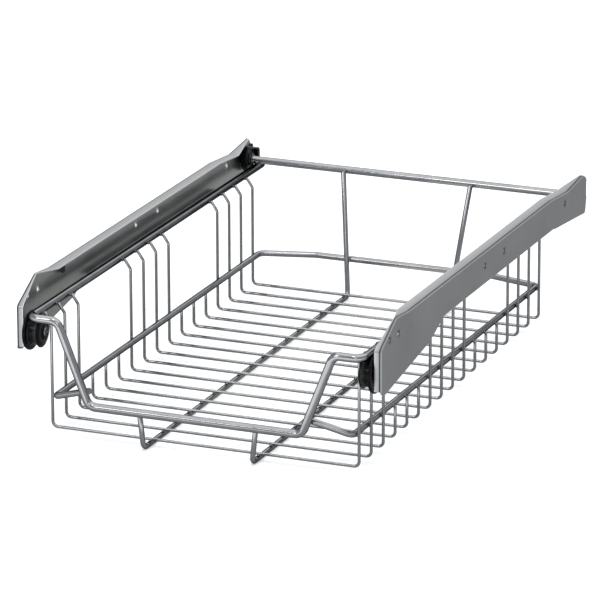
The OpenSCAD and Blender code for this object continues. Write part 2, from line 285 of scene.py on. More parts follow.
# %% Turned and plated steel of the pins and washers
net, shader = new_finish("pin_steel", 1.0, rim=0.4)
tone, height = net.effect(cloudy_plating, Broad=240.0, Fine=2600.0, Share=0.4)
steel = net.mix(net.span(tone, 0.0, 1.0, 0.35, 0.65), (0.17, 0.17, 0.175), (0.26, 0.26, 0.265))
coat(net, shader, steel, net.span(tone, 0.22, 0.36, 0.3, 0.7), height, 0.4)

# %% Black mouldings
def make_black_moulding(name, fine, rough):
    """Glossy black plastic with a faint moulded skin, painted grey highlights on its edges and a little dust.
    """
    net, shader = new_finish(name, 0.0, specular=0.08)
    tone, height = net.effect(cloudy_plating, Broad=180.0, Fine=fine, Share=0.5)
    black = net.mix(tone, (0.002, 0.002, 0.0022), (0.005, 0.005, 0.0055))
    # painted grey highlight along the rims and rounded edges
    black = net.mix(net.effect(painted_edge_light, Grain=900.0, Amount=0.9)[0], black, (0.3, 0.3, 0.305))
    black = net.mix(net.effect(settled_dust, Grain=700.0, Amount=0.05)[0], black, (0.12, 0.115, 0.11))
    coat(net, shader, black, net.span(tone, rough, rough + 0.14, 0.3, 0.7), height, 0.4)


make_black_moulding("roller_plastic", 1800.0, 0.12)
make_black_moulding("stop_plastic", 1500.0, 0.2)
print("finishes:", list(finishes))

# %% [markdown]
# ## Bent wire
#
# The basket is made of round wire that is bent in a jig and welded where it crosses. A wire is a circle
# carried along a path: straight runs joined by arcs. The arc at a corner touches both runs, so it starts
# its radius times the tangent of half the turn before the corner.
#
# The circle needs two directions square to the path. A cross product with one fixed slanted direction
# gives them for the whole path at once, and it never fails, because no wire runs along that direction.

# %% The path of a wire
def bent_path(corners, radius, steps=9):
    """Arc at each inner corner: centre + radius * (sin(a) * way - cos(a) * inward), a from 0 to the turn.

    The wire's two end points stay as they are. Gives the points in order.
    """
    corners = np.asarray(corners, float)
    here, before, after = corners[1:-1], corners[:-2], corners[2:]
    way_in, way_out = unit(here - before), unit(after - here)
    turn = np.arccos(np.clip(np.sum(way_in * way_out, axis=1), -1, 1))
    inward = unit(way_out - way_in * np.cos(turn)[:, None])
    start = here - way_in * (radius * np.tan(turn / 2))[:, None]
    centre = start + inward * radius
    a = turn[:, None, None] * np.linspace(0, 1, steps)[None, :, None]
    arcs = centre[:, None] + radius * (np.sin(a) * way_in[:, None] - np.cos(a) * inward[:, None])
    return np.concatenate([corners[:1], arcs.reshape(-1, 3), corners[-1:]])


def both_sides(half):
    """A path that starts on the left and runs on as its own mirror image on the right."""
    half = np.asarray(half, float)
    return np.concatenate([half, half[::-1] * (-1, 1, 1)])

# %% A wire along its path
SLANT = (0.36, 0.48, 0.8)


def wire_points(path, diameter, around, cut=0.35):
    """point(s, t) = path(s) + radius(s) * (cos t * side(s) + sin t * up(s)).

    side = way x the slanted direction, up = side x way. The radius shrinks over the last bit of each end,
    as on a wire that was cut and tumbled.
    """
    first, last = unit(path[1] - path[0]), unit(path[-1] - path[-2])
    path = np.concatenate([path[:1], path[:1] + first * cut * 0.3, path[:1] + first * cut, path[1:-1],
                           path[-1:] - last * cut, path[-1:] - last * cut * 0.3, path[-1:]])
    share = np.ones(len(path))
    share[[0, -1]] = 1 - 2 * cut / diameter
    share[[1, -2]] = 1 - 0.6 * cut / diameter
    way = unit(np.gradient(path, axis=0))
    way[:3], way[-3:] = first, last
    side = unit(np.cross(way, SLANT))
    up = np.cross(side, way)
    t = np.linspace(0, 2 * np.pi, around, endpoint=False)[None, :, None]
    ring = np.cos(t) * side[:, None] + np.sin(t) * up[:, None]
    return path[:, None] + ring * (share * diameter / 2)[:, None, None]


def wire_piece(name, path, diameter, node, around=16):
    """A wire of the basket along a path, closed by a flat cut at both ends."""
    points = wire_points(path, diameter, around)
    # the rings run the other way round along the wire, so the faces are turned outward
    piece = write_piece(name, points.reshape(-1, 3), turned_round(capped_cells(len(points), around)))
    finish_piece(piece, "basket", [node], "wire_plating")

# %% [markdown]
# ## Where the wires run
#
# These are the sizes of the drawing, in millimetres: heights of the wires' middle lines over the lowest
# point, places across from the middle, and places along from the middle, with +Y to the back.

# %% Sizes of the basket
side_x, side_z = 166.0, 117.8
long_top_x, cross_x, belt_x = 160.5, 154.0, 149.4
floor_z, base_z, belt_z, dip_z = 6.5, 2.5, 37.5, 38.3
bar_y, cross_front_y, pitch = -278.8, -256.8, 30.0
cross_rear_y, rod_y, rod_z = 223.2, 262.7, 125.55
cross_d, frame_d, belt_d, base_d, rod_d = 2.9, 8.0, 6.2, 5.0, 7.5
frame_bend, belt_bend, base_bend, cross_bend = 10.0, 8.0, 6.0, 5.0
dip_half, leg_top_x = 106.5, 137.5
weld_gap = 0.05

base_x, base_lean = 54.5, math.tan(math.radians(6.4))
base_front_y = bar_y + (frame_d + base_d) / 2 + weld_gap
base_rear_y = cross_rear_y + 10.5
rod_touch = (rod_d + base_d) / 2 + weld_gap
back_lean = math.acos(rod_touch / math.hypot(rod_y - base_rear_y, rod_z - base_z)) \
    - math.atan2(rod_z - base_z, rod_y - base_rear_y)


def base_side(z):
    """How far from the middle a base wire is at a height: it leans outward by a small angle."""
    return base_x + (z - base_z) * base_lean


def base_back(z):
    """How far back a base wire is at a height: behind the floor it leans back to the rod."""
    return base_rear_y + (z - base_z) * math.tan(back_lean)


print("back lean", round(math.degrees(back_lean), 2), "degrees")

# %% The thick frame wire
frame_path = bent_path(both_sides([
    (-side_x, rod_y + 13, side_z),
    (-side_x, bar_y, side_z),
    (-leg_top_x, bar_y, side_z),
    (-dip_half, bar_y, dip_z)]), frame_bend, steps=13)
wire_piece("frame_wire_bent", frame_path, frame_d, "frame_wire", around=28)

# %% The base wires
for side, sign in SIDES:
    base_path = bent_path([
        (sign * base_side(dip_z), base_front_y, dip_z),
        (sign * base_x, base_front_y, base_z),
        (sign * base_x, base_rear_y, base_z),
        (sign * base_side(rod_z), base_back(rod_z), rod_z)], base_bend)
    wire_piece(f"{side}_base_wire_bent", base_path, base_d, f"{side}_base_wire", around=20)

# %% The belt wire, whose ends run a little past the front legs
belt_end_z, belt_past = belt_z + 13.0, 2.5
leg_x = dip_half + (leg_top_x - dip_half) * (belt_end_z - dip_z) / (side_z - dip_z)
belt_back_x = 93.5
belt_back_y = base_back(belt_z) + ((base_d + belt_d) / 2 + weld_gap) / math.cos(back_lean)
belt_path = bent_path(both_sides([
    (-leg_x + belt_past, bar_y + (frame_d + belt_d) / 2 + weld_gap, belt_end_z + belt_past * 0.3),
    (-belt_x, cross_front_y - 4, belt_z),
    (-belt_x, cross_rear_y + 7.5, belt_z),
    (-belt_back_x, belt_back_y, belt_z)]), belt_bend)
wire_piece("belt_wire_bent", belt_path, belt_d, "belt_wire", around=24)

# %% [markdown]
# ## Seventeen cross wires
#
# The thin wires come in groups of three, three, four, three and four. The first, third and last group
# run up to the thick wire with a small step outward below it. The others end on the belt.

# %% The cross wires
shoulder_h, under_belt = 9.5, 0.4
groups = np.array([3, 3, 4, 3, 4])
is_long = np.repeat(np.arange(5) % 2 == 0, groups)
cross_ys = cross_front_y + pitch * np.arange(groups.sum())
for i, y in enumerate(cross_ys):
    top = [(-long_top_x, y, side_z), (-cross_x, y, side_z - shoulder_h)] if is_long[i] \
        else [(-cross_x, y, belt_z - under_belt)]
    cross_path = bent_path(both_sides(top + [(-cross_x, y, floor_z)]), cross_bend, steps=8)
    wire_piece(f"cross_wire_bent_{i + 1:02d}", cross_path, cross_d, f"cross_wire_{i + 1:02d}")
print("long wires:", int(is_long.sum()), "short wires:", int((~is_long).sum()))

# %% [markdown]
# ## Weld beads
#
# Each crossing is a resistance weld: the wires sink into each other a little, and a small smooth bead is
# squeezed out round the spot. A bead is a flattened ball. All of them are one mesh, as the same grid of a
# ball is added to every centre at once.

# %% A ball at every centre
def beads(centres, sizes, rings=7, around=10):
    """point(n, a, b) = centre(n) + size(n) * (sin a cos b, sin a sin b, cos a), for all beads at once."""
    a = np.linspace(0, np.pi, rings)[:, None]
    b = np.linspace(0, 2 * np.pi, around, endpoint=False)[None, :]
    ball = np.stack([np.sin(a) * np.cos(b), np.sin(a) * np.sin(b), np.cos(a) + 0 * b], axis=-1)
    ball = np.concatenate([ball[1:-1].reshape(-1, 3), [[0, 0, 1], [0, 0, -1]]])
    points = centres[:, None] + sizes[:, None] * ball[None]
    turn, last = np.arange(around), (rings - 3) * around
    following = (turn + 1) % around
    top, bottom = (np.full(around, len(ball) - n) for n in (2, 1))
    caps = np.concatenate([np.c_[turn, following, top], np.c_[last + following, last + turn, bottom]])
    shift = np.arange(len(centres))[:, None, None] * len(ball)
    faces = (grid_cells(rings - 2, around)[None, :, ::-1] + shift).reshape(-1, 4).tolist()
    return points.reshape(-1, 3), faces + (caps[None] + shift).reshape(-1, 3).tolist()


def at(x, y, z, size):
    """Rows of centre and size for every given place and both sides."""
    x, y, z = np.broadcast_arrays(*np.atleast_1d(x, y, z))
    one = np.c_[x, y, z].astype(float)
    both = np.concatenate([one, one * (-1, 1, 1)])
    return both, np.broadcast_to(np.array(size, float), both.shape)

# %% Beads at the crossings
# the cross wires' three rows, the base wires' three, the belt's ends and the frame wire under the rod
weld_list = [
    at(base_x, cross_ys, floor_z - cross_d / 2, (1.9, 1.5, 0.75)),
    at(cross_x - cross_d / 2, cross_ys, belt_z - 0.9, (0.75, 1.5, 1.7)),
    at(side_x - frame_d / 2, cross_ys[is_long], side_z - 1.6, (0.75, 1.5, 1.5)),
    at(base_side(dip_z - 1.5), bar_y + frame_d / 2, dip_z - 1.5, (2.3, 0.9, 1.9)),
    at(base_side(belt_z), base_back(belt_z) + base_d / 2 + 0.1, belt_z, (2.4, 0.9, 2.2)),
    at(base_side(rod_z - 1.8), base_back(rod_z - 1.8) + base_d / 2 + 0.1, rod_z - 1.8, (2.3, 1.0, 2.0)),
    at(leg_x - 0.6, bar_y + frame_d / 2 + 0.3, belt_end_z - 0.4, (2.3, 1.0, 2.2)),
    at(side_x, rod_y, side_z + frame_d / 2, (2.6, 2.6, 0.8))]
weld_centres, weld_sizes = (np.concatenate(rows) for rows in zip(*weld_list))
finish_piece(write_piece("weld_beads", *beads(weld_centres, weld_sizes)), "basket", [], "wire_plating")
print("welds:", len(weld_centres))

# %% [markdown]
# ## Turned and moulded round parts
#
# Rollers, pins, washers and the rear rod are all turned about a line across the cabinet. Their section
# is drawn once as corners (radius, place across), with a small radius at each corner as a mould or a
# lathe leaves it, and is then carried round.

# %% Rounded corners
def round_corners(corners, radii, steps):
    """Arcs of a closed flat path, and the direction to its right at each of their points.

    At a corner the direction turns evenly by the corner's angle, and the point is the arc's centre minus
    or plus radius times the direction.
    """
    before, after = np.roll(corners, 1, axis=0), np.roll(corners, -1, axis=0)
    way_in, way_out = unit(corners - before), unit(after - corners)
    turn = np.arctan2(way_in[:, 0] * way_out[:, 1] - way_in[:, 1] * way_out[:, 0],
                      np.sum(way_in * way_out, axis=1))
    right = np.c_[way_in[:, 1], -way_in[:, 0]]
    to_centre = (-np.sign(turn) * radii)[:, None]
    start = corners - way_in * (radii * np.tan(np.abs(turn) / 2))[:, None]
    a = turn[:, None] * np.linspace(0, 1, steps)[None, :]
    cos_a, sin_a = np.cos(a), np.sin(a)
    facing = np.stack([cos_a * right[:, :1] - sin_a * right[:, 1:],
                       sin_a * right[:, :1] + cos_a * right[:, 1:]], axis=-1)
    return (start + right * to_centre)[:, None] - facing * to_centre[:, None], facing


def soft_section(corners, radii, steps=5, closed=True):
    """A section whose corners give way to arcs. An open one keeps its two end points."""
    corners = np.asarray(corners, float)
    arcs = round_corners(corners, np.broadcast_to(np.asarray(radii, float), len(corners)), steps)[0]
    if closed:
        return arcs.reshape(-1, 2)
    return np.concatenate([corners[:1], arcs[1:-1].reshape(-1, 2), corners[-1:]])

# %% A section carried round
def turned_piece(name, section, centre, outward, body, node, slot, around=64, closed=True, sharp=35):
    """point(u, v) = centre + (outward * place(v), radius(v) cos u, radius(v) sin u).

    The edge value of a point is high where the section turns sharply for its length. On the black mouldings it
    paints a grey highlight there.
    """
    u = np.linspace(0, 2 * np.pi, around, endpoint=False)[None, :]
    radius, place = section[:, :1], section[:, 1:]
    points = np.stack([outward * place + 0 * u, radius * np.cos(u), radius * np.sin(u)], axis=-1)
    rows = len(section)
    faces = grid_cells(rows, around, close_rows=True).tolist() if closed else capped_cells(rows, around)
    way = unit(np.roll(section, -1, axis=0) - section + 1e-9)
    bend = np.clip(1 - np.sum(way * np.roll(way, 1, axis=0), axis=1), 0, 1) * 6
    bend = np.clip(np.maximum(bend, np.roll(bend, 1)), 0, 1)
    piece = write_piece(name, points.reshape(-1, 3) + np.asarray(centre, float),
                        turned_round(faces) if outward < 0 else faces, np.repeat(bend, around), sharp)
    finish_piece(piece, body, [node], slot)

# %% [markdown]
# ## Front rollers
#
# The thick side wires run in the groove of two rollers at the front of the rails. Each roller has a low
# rim toward the basket and a high rim toward the cabinet side, and its faces are hollowed in the mould
# to keep its walls even.

# %% The front rollers on their pins
pin_y, pin_z, web_x = -261.2, 100.0, 180.8
groove_r, groove_half, pin_r = 13.6, 4.3, 3.5
low_rim_r, high_rim_r = 15.4, 18.8
outer_face, inner_face = groove_half + 3.5, groove_half + 3.3
roller_section = soft_section([
    (pin_r + 0.05, -inner_face), (6.6, -inner_face), (6.9, -inner_face + 0.8), (8.4, -inner_face + 0.8),
    (8.7, -inner_face + 0.1), (low_rim_r, -groove_half - 0.9), (low_rim_r, -groove_half - 0.1),
    (groove_r, -groove_half), (groove_r, groove_half), (high_rim_r - 0.6, groove_half + 0.5),
    (high_rim_r, groove_half + 1.1), (high_rim_r, outer_face - 0.8), (high_rim_r - 0.8, outer_face),
    (15.6, outer_face), (15.2, outer_face - 1.2), (8.4, outer_face - 1.2), (8.0, outer_face),
    (pin_r + 0.05, outer_face)],
    [0.2, 0.25, 0.2, 0.2, 0.3, 0.3, 0.3, 0.3, 0.4, 0.3, 0.4, 0.4, 0.4, 0.25, 0.3, 0.3, 0.25, 0.2])
shoulder_r, head_r, head_start = pin_r + 2.3, pin_r + 1.0, -inner_face - 0.3
pin_section = soft_section([
    (1.1, head_start - 1.1), (1.5, head_start - 1.6), (head_r - 0.5, head_start - 1.6),
    (head_r, head_start - 0.9), (head_r, head_start), (pin_r, head_start), (pin_r, outer_face + 0.3),
    (shoulder_r, outer_face + 0.3), (shoulder_r, web_x - side_x)],
    [0, 0.25, 0.5, 0.3, 0.1, 0.1, 0.1, 0.2, 0], closed=False)
for side, sign in SIDES:
    centre = (sign * side_x, pin_y, pin_z)
    turned_piece(f"{side}_front_roller_moulded", roller_section, centre, sign,
                 f"{side}_front_roller_body", f"{side}_front_roller", "roller_plastic", sharp=50)
    turned_piece(f"{side}_roller_pin_riveted", pin_section, centre, sign,
                 "rails", f"{side}_roller_pin", "pin_steel", closed=False)

# %% [markdown]
# ## Rear rollers, washers and the rear rod
#
# Behind, one thick rod lies across the ends of the frame wire. A washer and a flat roller sit on each
# end of it, and the end is flattened to a head that keeps them on.

# %% The rear rollers and their washers
rod_middle, rod_r = (0, rod_y, rod_z), rod_d / 2
washer_x = side_x + 0.8 * frame_d / 2
hub_x = washer_x + 1.4
running_x = hub_x + 2.4
roller_r, roller_w, hub_r, bore_r = 12.7, 5.2, 6.5, rod_r + 0.16
rear_section = soft_section([
    (bore_r, hub_x), (hub_r, hub_x), (hub_r, running_x + 0.8), (roller_r - 3, running_x + 0.8),
    (roller_r - 2.4, running_x), (roller_r - 0.5, running_x), (roller_r, running_x + 0.5),
    (roller_r, running_x + roller_w - 0.5), (roller_r - 0.5, running_x + roller_w),
    (bore_r, running_x + roller_w)],
    [0.15, 0.35, 0.35, 0.3, 0.25, 0.3, 0.3, 0.3, 0.3, 0.15])
washer_inner, washer_outer, washer_t = rod_r + 0.05, rod_r + 1.1, 1.1
washer_section = soft_section([
    (washer_inner, washer_x), (washer_outer, washer_x),
    (washer_outer, washer_x + washer_t), (washer_inner, washer_x + washer_t)], 0.15)
for side, sign in SIDES:
    turned_piece(f"{side}_rear_roller_moulded", rear_section, rod_middle, sign,
                 f"{side}_rear_roller_body", f"{side}_rear_roller", "roller_plastic", sharp=50)
    turned_piece(f"{side}_washer_pressed", washer_section, rod_middle, sign,
                 "basket", f"{side}_washer", "pin_steel", around=40)

# %% The rear rod
head_x, rod_head_r = running_x + roller_w + 0.3, rod_r + 1.5
rod_half = np.array([
    (1.6, head_x + 1.4), (rod_head_r - 0.6, head_x + 1.4), (rod_head_r, head_x + 0.8),
    (rod_head_r, head_x), (rod_r, head_x)])
rod_section = soft_section(np.concatenate([rod_half * (1, -1), rod_half[::-1]]),
                           [0, 0.5, 0.3, 0.1, 0.2, 0.2, 0.1, 0.3, 0.5, 0], closed=False)
turned_piece("rear_rod_headed", rod_section, rod_middle, 1, "basket", "rear_rod", "wire_plating",
             around=32, closed=False)

# %% [markdown]
# ## The pressed rails
#
# A rail is one strip of 1.2 mm sheet. Its web is cut to an outline that rises to the front corner and
# dips at the back, and narrow flanges are folded inward along parts of the edge. The roller runs in the
# channel between the upper and the lower flange.
#
# The outline is a closed path with rounded corners. Every point of the rail's border is then a point of
# that path, moved inward by some inset and across by some depth: a plain cut edge and a folded flange are
# only two different sections, listed as (inset, depth), that travel along the path.

# %% The outline of the web
rail_x, sheet_t, fold_r = 182.0, 1.2, 1.9
rail_top, rail_bottom = 143.65, 111.45
front_y, rear_y = -273.2, 282.8
edge_bottom, edge_top = 84.0, 126.0
kink_y, dip_y = front_y + 39.0, rod_y - 36.0
belly_y = front_y + 124.0
web_corners = np.array([
    (front_y, edge_bottom), (front_y, edge_top), (kink_y, rail_top + 3), (kink_y + 31, rail_top),
    (dip_y - 48, rail_top), (dip_y, rail_top - 4), (rod_y + 9, rail_top + 0.7), (rear_y, rail_top - 5),
    (rear_y, rod_z - 6), (rear_y - 4, rail_bottom - 8), (dip_y - 38, rail_bottom),
    (belly_y + 33, rail_bottom), (belly_y, rail_bottom - 13), (front_y + 10, edge_bottom - 3)])
corner_r = np.array([3.0, 5.0, 10.0, 14.0, 30.0, 24.0, 6.0, 4.0, 3.0, 3.5, 30.0, 14.0, 12.0, 6.0])
# the path goes up at the front and back along the top, so its right side is the inside
arc_points, arc_inward = round_corners(web_corners, corner_r, 9)
print("outline: corners and points of each", arc_points.shape[:2])

# %% [markdown]
# ## Screw holes without cutting
#
# The web is a grid between the upper and the lower edge of the outline. Where a screw hole goes, a block
# of four by four cells is left out, and rings of points lead from the block's border to the circle: a
# point of such a ring is the mix of a border point and the circle's point at the same angle. The mesh
# stays closed, and nothing has to be cut.
#
# Round each hole the sheet is also pressed in a little, away from the cabinet's side. The rings sink
# along a smooth step from the dimple's rim to the hole.

# %% The two edges of the web
screw_y, screw_z, hole_r, hole_cell = -229.2, 129.55, 2.25, 4.2
hole_ys = np.array([screw_y - 23, screw_y, screw_y + 224, screw_y + 276, screw_y + 448])
block_lines = hole_cell * np.linspace(-1, 1, 5)
middle = arc_points.shape[1] // 2


def run(first, last):
    """The outline from one corner to another, with both corners' arcs, and the inward directions."""
    ks = np.arange(first, last + 1) % len(web_corners)
    return arc_points[ks].reshape(-1, 2), arc_inward[ks].reshape(-1, 2)


def edge_at(ys, points, inward):
    """Points and inward directions of an edge at places along the rail, between the edge's own two ends."""
    z, in_y, in_z = (np.interp(ys, points[:, 0], v) for v in (points[:, 1], inward[:, 0], inward[:, 1]))
    return (np.concatenate([points[:1], np.c_[ys, z], points[-1:]]),
            np.concatenate([inward[:1], unit(np.c_[in_y, in_z]), inward[-1:]]))


upper_points, upper_inward = run(1, 7)
lower_points, lower_inward = (v[::-1] for v in run(9, 14))
# inside a hole's block only the block's own columns stay
outline_ys = np.concatenate([upper_points[:, 0], lower_points[:, 0]])
near_hole = np.abs(outline_ys[:, None] - hole_ys[None, :]).min(axis=1) < hole_cell + 0.03
inner_ys = np.concatenate([outline_ys[~near_hole], (hole_ys[:, None] + block_lines[None, :]).ravel()])
low_y = max(upper_points[0, 0], lower_points[0, 0])
high_y = min(upper_points[-1, 0], lower_points[-1, 0])
inner_ys = np.unique(np.round(inner_ys[(inner_ys > low_y + 0.05) & (inner_ys < high_y - 0.05)], 3))
inner_ys = inner_ys[np.concatenate([[True], np.diff(inner_ys) > 0.02])]
upper, upper_in = edge_at(inner_ys, upper_points, upper_inward)
lower, lower_in = edge_at(inner_ys, lower_points, lower_inward)
print("columns along the web:", len(upper))

# %% The web as a grid
reach = fold_r + 0.5


def web_grid():
    """point(j, f) = lower(j) + f (upper(j) - lower(j)); five of the rows pass the holes at fixed heights.

    Near the ends the web is lower than the holes, so there f is held below one.
    """
    top = upper + upper_in * reach
    bottom = lower + lower_in * reach
    share = (screw_z + block_lines[None, :] - bottom[:, 1:]) / (top[:, 1:] - bottom[:, 1:])
    share = np.minimum(share, 0.955 + 0.009 * np.arange(5)[None, :])
    share = np.c_[np.zeros(len(top)), 0.5 * share[:, 0], share, np.ones(len(top))]
    return bottom[:, None] + share[..., None] * (top - bottom)[:, None]


web = web_grid()
columns, rows = web.shape[:2]
# at the back the edge is bent once, so the last column follows it: corner, bend, then straight up
front_edge = np.c_[np.full(rows, front_y), web[0, :, 1]]
rear_edge = np.c_[np.full(rows, rear_y), web[-1, :, 1]]
rear_edge[0], rear_edge[1], rear_edge[-1] = lower[-1], arc_points[8, middle], upper[-1]
rear_in = np.tile([-1.0, 0.0], (rows, 1))
rear_in[0], rear_in[1] = lower_in[-1], arc_inward[8, middle]
web[-1] = rear_edge + rear_in * reach

# %% Its cells without the blocks of the holes
cells = grid_cells(columns, rows, close_columns=False).reshape(columns - 1, rows - 1, 4)
hole_columns = np.array([np.argmin(np.abs(web[:, 2, 0] - (y - hole_cell))) for y in hole_ys])
left_out = np.zeros((columns - 1, rows - 1), bool)
left_out[(hole_columns[:, None] + np.arange(4)[None, :]).ravel(), 2:6] = True
web_cells = cells[~left_out]
print("web grid:", columns, "x", rows, "holes at", np.round(web[hole_columns + 2, 4], 2).tolist())

# %% Rings from the grid to each hole
dimple_r, press = 4.1, 0.9
# the block's border, point by point: its columns from the hole's first one, and its rows
border_j = np.array([0, 1, 2, 3, 4, 4, 4, 4, 4, 3, 2, 1, 0, 0, 0, 0])
border_r = np.array([2, 2, 2, 2, 2, 3, 4, 5, 6, 6, 6, 6, 6, 5, 4, 3])


def hole_rings(k, shares=(0.3, 0.5, 0.65, 0.8, 0.92, 1.0)):
    """ring(g, a) = (1 - g) * border(a) + g * circle(a), pressed in by press * (1 - s * s * (3 - 2 * s)).

    s runs from 0 at the hole to 1 at the dimple's rim. Gives the points, how far each is pressed in, and
    the numbers of the border's own points.
    """
    j, r = hole_columns[k] + border_j, border_r
    border = web[j, r]
    centre = np.array([hole_ys[k], screw_z])
    circle = centre + hole_r * unit(border - centre)
    g = np.array(shares)[:, None, None]
    rings = (1 - g) * border[None] + g * circle[None]
    s = np.clip((np.linalg.norm(rings - centre, axis=2) - hole_r) / (dimple_r - hole_r), 0, 1)
    return rings, press * (1 - s * s * (3 - 2 * s)), j * rows + r

# %% [markdown]
# ## Folding the flanges
#
# The section of a flange starts on the web, goes round the outside of the fold, out to the flange's free
# edge, over it and back along the inside. A plain stretch of edge only rounds the cut. Both start and end
# at the same two lines of the web and have the same number of points, so they fit the grid point by point.
#
# Each of these points also has a painted light value. It paints a highlight on the fold's lower half and the
# cut edges, and it paints shade on the line over the fold, where the sheet mirrors the gap between the lights.

# %% Two sections
def fold(radius):
    """A quarter circle about the fold's middle, from the web to the flange, as (inset, depth)."""
    a = np.radians(np.linspace(-90, 0, 6))
    return fold_r + radius * np.c_[-np.cos(a), np.sin(a)]


def flange_section(depth):
    """(inset, depth) from the outer face round the fold, over the free edge and back to the inner face."""
    e = 0.3
    past_fold = fold_r + min(0.9, 0.6 * (depth - 2 * e - fold_r))
    tip = [(0, past_fold), (0, depth - 2 * e), (0, depth - e), (e * 0.3, depth - e * 0.3), (e, depth)]
    tip += [(sheet_t - inset, d) for inset, d in tip[:0:-1]]
    return np.concatenate([[(reach, 0)], fold(fold_r), tip, fold(fold_r - sheet_t)[::-1], [(reach, sheet_t)]])


def plain_section():
    """(inset, depth) over the cut edge of the sheet, slightly rounded, in as many points as a flange has."""
    e = 0.25
    side = [(fold_r, 0), (1.4, 0), (1.0, 0), (0.6, 0), (e, 0), (e * 0.3, e * 0.3)]
    cut = np.c_[np.zeros(9), np.linspace(e, sheet_t - e, 9)]
    back = [(inset, sheet_t - depth) for inset, depth in side[::-1]]
    return np.concatenate([[(reach, 0)], side, cut, back, [(reach, sheet_t)]])


# painted light along each section: above zero a painted highlight, below zero a painted shade
flange_painted_light = np.concatenate([
    [0, 0, 0.7, 1.0, -0.4, -1.0, -1.0, -0.3], [0.0, 0.8, 1, 0.9, 0.9, 1, 0.8, 0.1], np.zeros(7)])
plain_painted_light = np.concatenate([[0, 0, 0, 0, 0, 0.3, 0.9], np.full(9, 0.8), [0.9, 0.3], np.zeros(5)])

# %% The border of the rail
def border_strip(path, inward, stretches):
    """point(u, v) = path(u) + inset(v) * inward(u), at depth(u, v) from the outer face, round the outline.

    Each stretch gives its first and last number along the path and its flange's width there, or zero for
    a plain edge. Where two stretches meet, both sections stand at the same place, and the cells between
    them close the flange's end.
    """
    numbers, sections, painted_light = [], [], []
    for first, last, widths in stretches:
        ks = np.arange(first, last + 1)
        kinds, which = np.unique(np.broadcast_to(widths, len(ks)), return_inverse=True)
        numbers.append(ks % len(path))
        sections.append(np.stack([flange_section(w) if w else plain_section() for w in kinds])[which])
        painted_light.append(np.tile(flange_painted_light if kinds[0] else plain_painted_light, (len(ks), 1)))
    numbers, sections, painted_light = map(np.concatenate, (numbers, sections, painted_light))
    place = path[numbers][:, None] + sections[..., :1] * inward[numbers][:, None]
    points = np.concatenate([rail_x - sections[..., 1:], place], axis=-1)
    faces = grid_cells(*sections.shape[:2], close_rows=True, close_columns=False)[:, ::-1]
    return points.reshape(-1, 3), faces.tolist(), painted_light.ravel()

# %% [markdown]
# ## One rail, from border, web and stop tab
#
# The border is one closed strip in six stretches. A flange of changing width runs round the front corner
# and over the channel as far as the rear crest. A plain edge, a short lip at the back and a plain foot
# follow, then the lower flange that the roller runs on, and the plain belly.
#
# Points of border and web that fall on each other are merged at the end. The left rail is the right one
# mirrored, with its faces turned round.

# %% The stretches round the outline
# once round: along the top, down the back, forward along the bottom and up the front
path = np.concatenate([upper, rear_edge[-2:0:-1], lower[::-1], front_edge[1:-1]])
inward = np.concatenate([upper_in, rear_in[-2:0:-1], lower_in[::-1], np.tile([1.0, 0.0], (rows - 2, 1))])
count_top, count_all = len(upper), len(path)
low_start = count_top + rows - 2
bend_at = low_start - 1


def nearest(edge, y):
    """Number of the edge's point nearest to y."""
    return int(np.argmin(np.abs(edge[:, 0] - y)))


crest_at = nearest(upper, web_corners[6, 0])
foot_at, channel_at = (low_start + nearest(lower[::-1], y) for y in (dip_y - 38, belly_y + 33))
front_start = count_all - (rows - 2) - 1
top_flange, low_flange, rear_lip = 12.0, 11.5, 4.0
top_numbers = np.arange(front_start, count_all + crest_at + 1)
flange_ys = [front_y + 1, kink_y, kink_y + 31, dip_y, rod_y + 9]
top_widths = np.interp(path[top_numbers % count_all, 0], flange_ys, [7.0, 3.0, top_flange, top_flange, 4.0])
border = border_strip(path, inward, [
    (front_start, count_all + crest_at, np.round(top_widths, 2)),
    (crest_at, count_top - 1, 0),
    (count_top - 1, bend_at, rear_lip),
    (bend_at, foot_at, 0),
    (foot_at, channel_at, low_flange),
    (channel_at, front_start, 0)])
print("border points:", len(border[0]), "flanges", top_widths.min().round(2), "to", top_widths.max(), "mm")

# %% The tab that stops the roller
tab_y = -179.33
tab_section = soft_section([(3.4, 0), (9.9, 0), (9.9, -12.6), (3.4, -12.6)], [0.2, 0.2, 2.6, 2.6], steps=6)


def stop_tab():
    """A rounded plate: its outline at five levels through the sheet, drawn in a little at both faces."""
    level = np.array([0, 0.1, 0.5, 0.9, 1.0]) * sheet_t
    share = np.array([0.975, 1.0, 1.0, 1.0, 0.975])
    centre = tab_section.mean(axis=0)
    flat = centre + (tab_section - centre)[None] * share[:, None, None]
    x = rail_x - top_flange + 1.5 + flat[..., 0]
    z = rail_top - 0.1 + flat[..., 1] * 0.955
    y = np.broadcast_to(tab_y - level[:, None], x.shape)
    points = np.stack([x, y, z], axis=-1).reshape(-1, 3)
    # the whole tab gets an even painted shade
    return points, capped_cells(len(level), len(tab_section)), np.full(len(points), -0.8)

